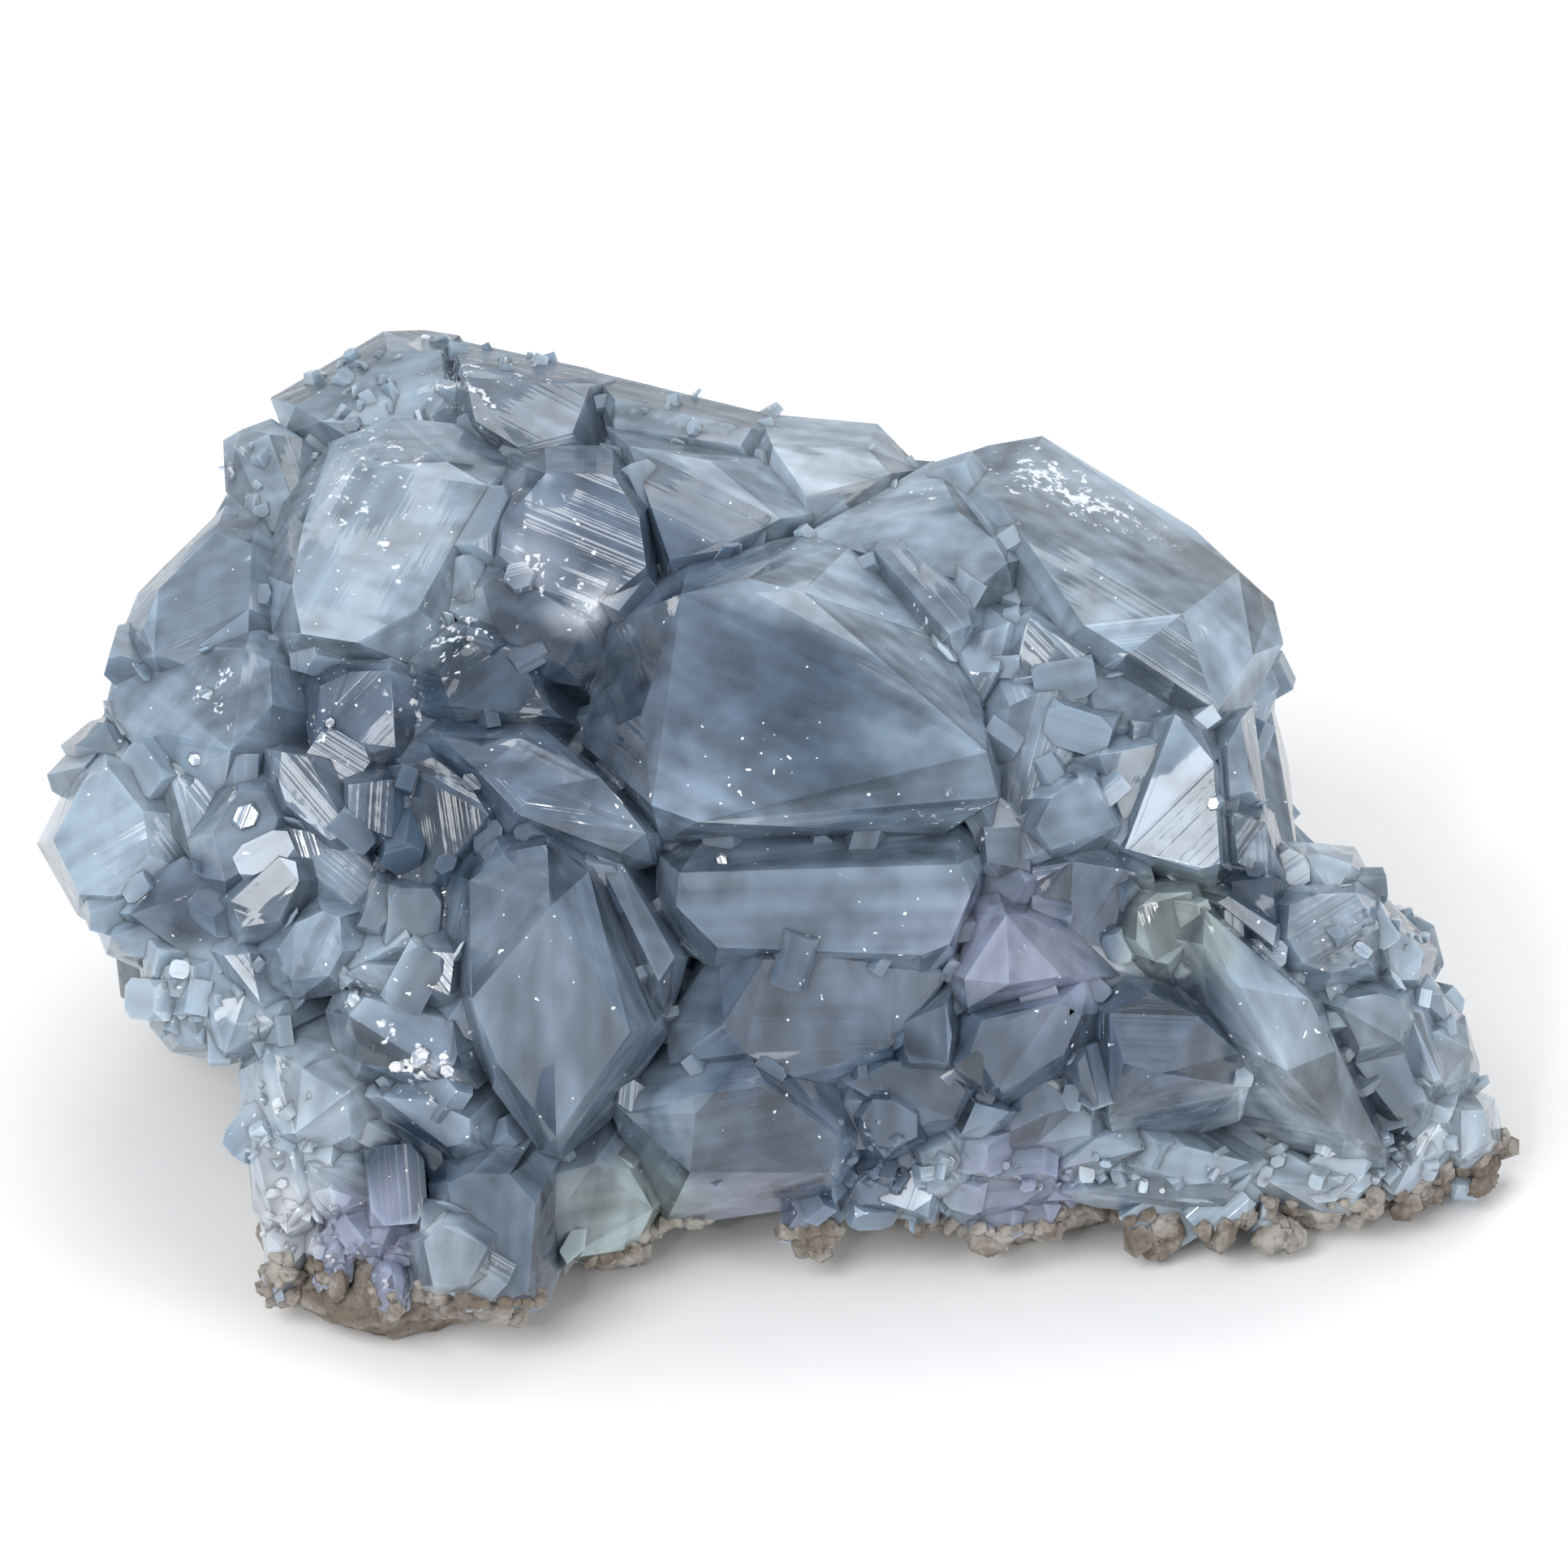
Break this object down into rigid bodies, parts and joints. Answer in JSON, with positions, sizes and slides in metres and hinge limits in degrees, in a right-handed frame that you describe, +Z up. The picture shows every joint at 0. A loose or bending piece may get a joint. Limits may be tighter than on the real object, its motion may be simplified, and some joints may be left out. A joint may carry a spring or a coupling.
{
  "type": "natural celestite crystal cluster",
  "caption": "Natural cluster of blocky pale blue-grey celestite crystals grown together on a thin rind of brown host rock; decorative mineral specimen that stands on its rock.",
  "frame": {"origin": "middle of the bounding box in plan, at the height of the flat foot of the rock", "axes": "+Z up; +X to the right as the cluster is seen from its best side, which faces -Y"},
  "size_m": [0.1238, 0.0934, 0.0638],
  "materials": {
    "celestite": "celestite: clear to milky blue-grey crystal, glassy faces with frosted and striated patches",
    "host_rock": "natural rock: rough, granular, matt grey-brown"
  },
  "bodies": {
    "root": {"celestite": "celestite", "matrix": "host_rock"}
  },
  "joints": []
}
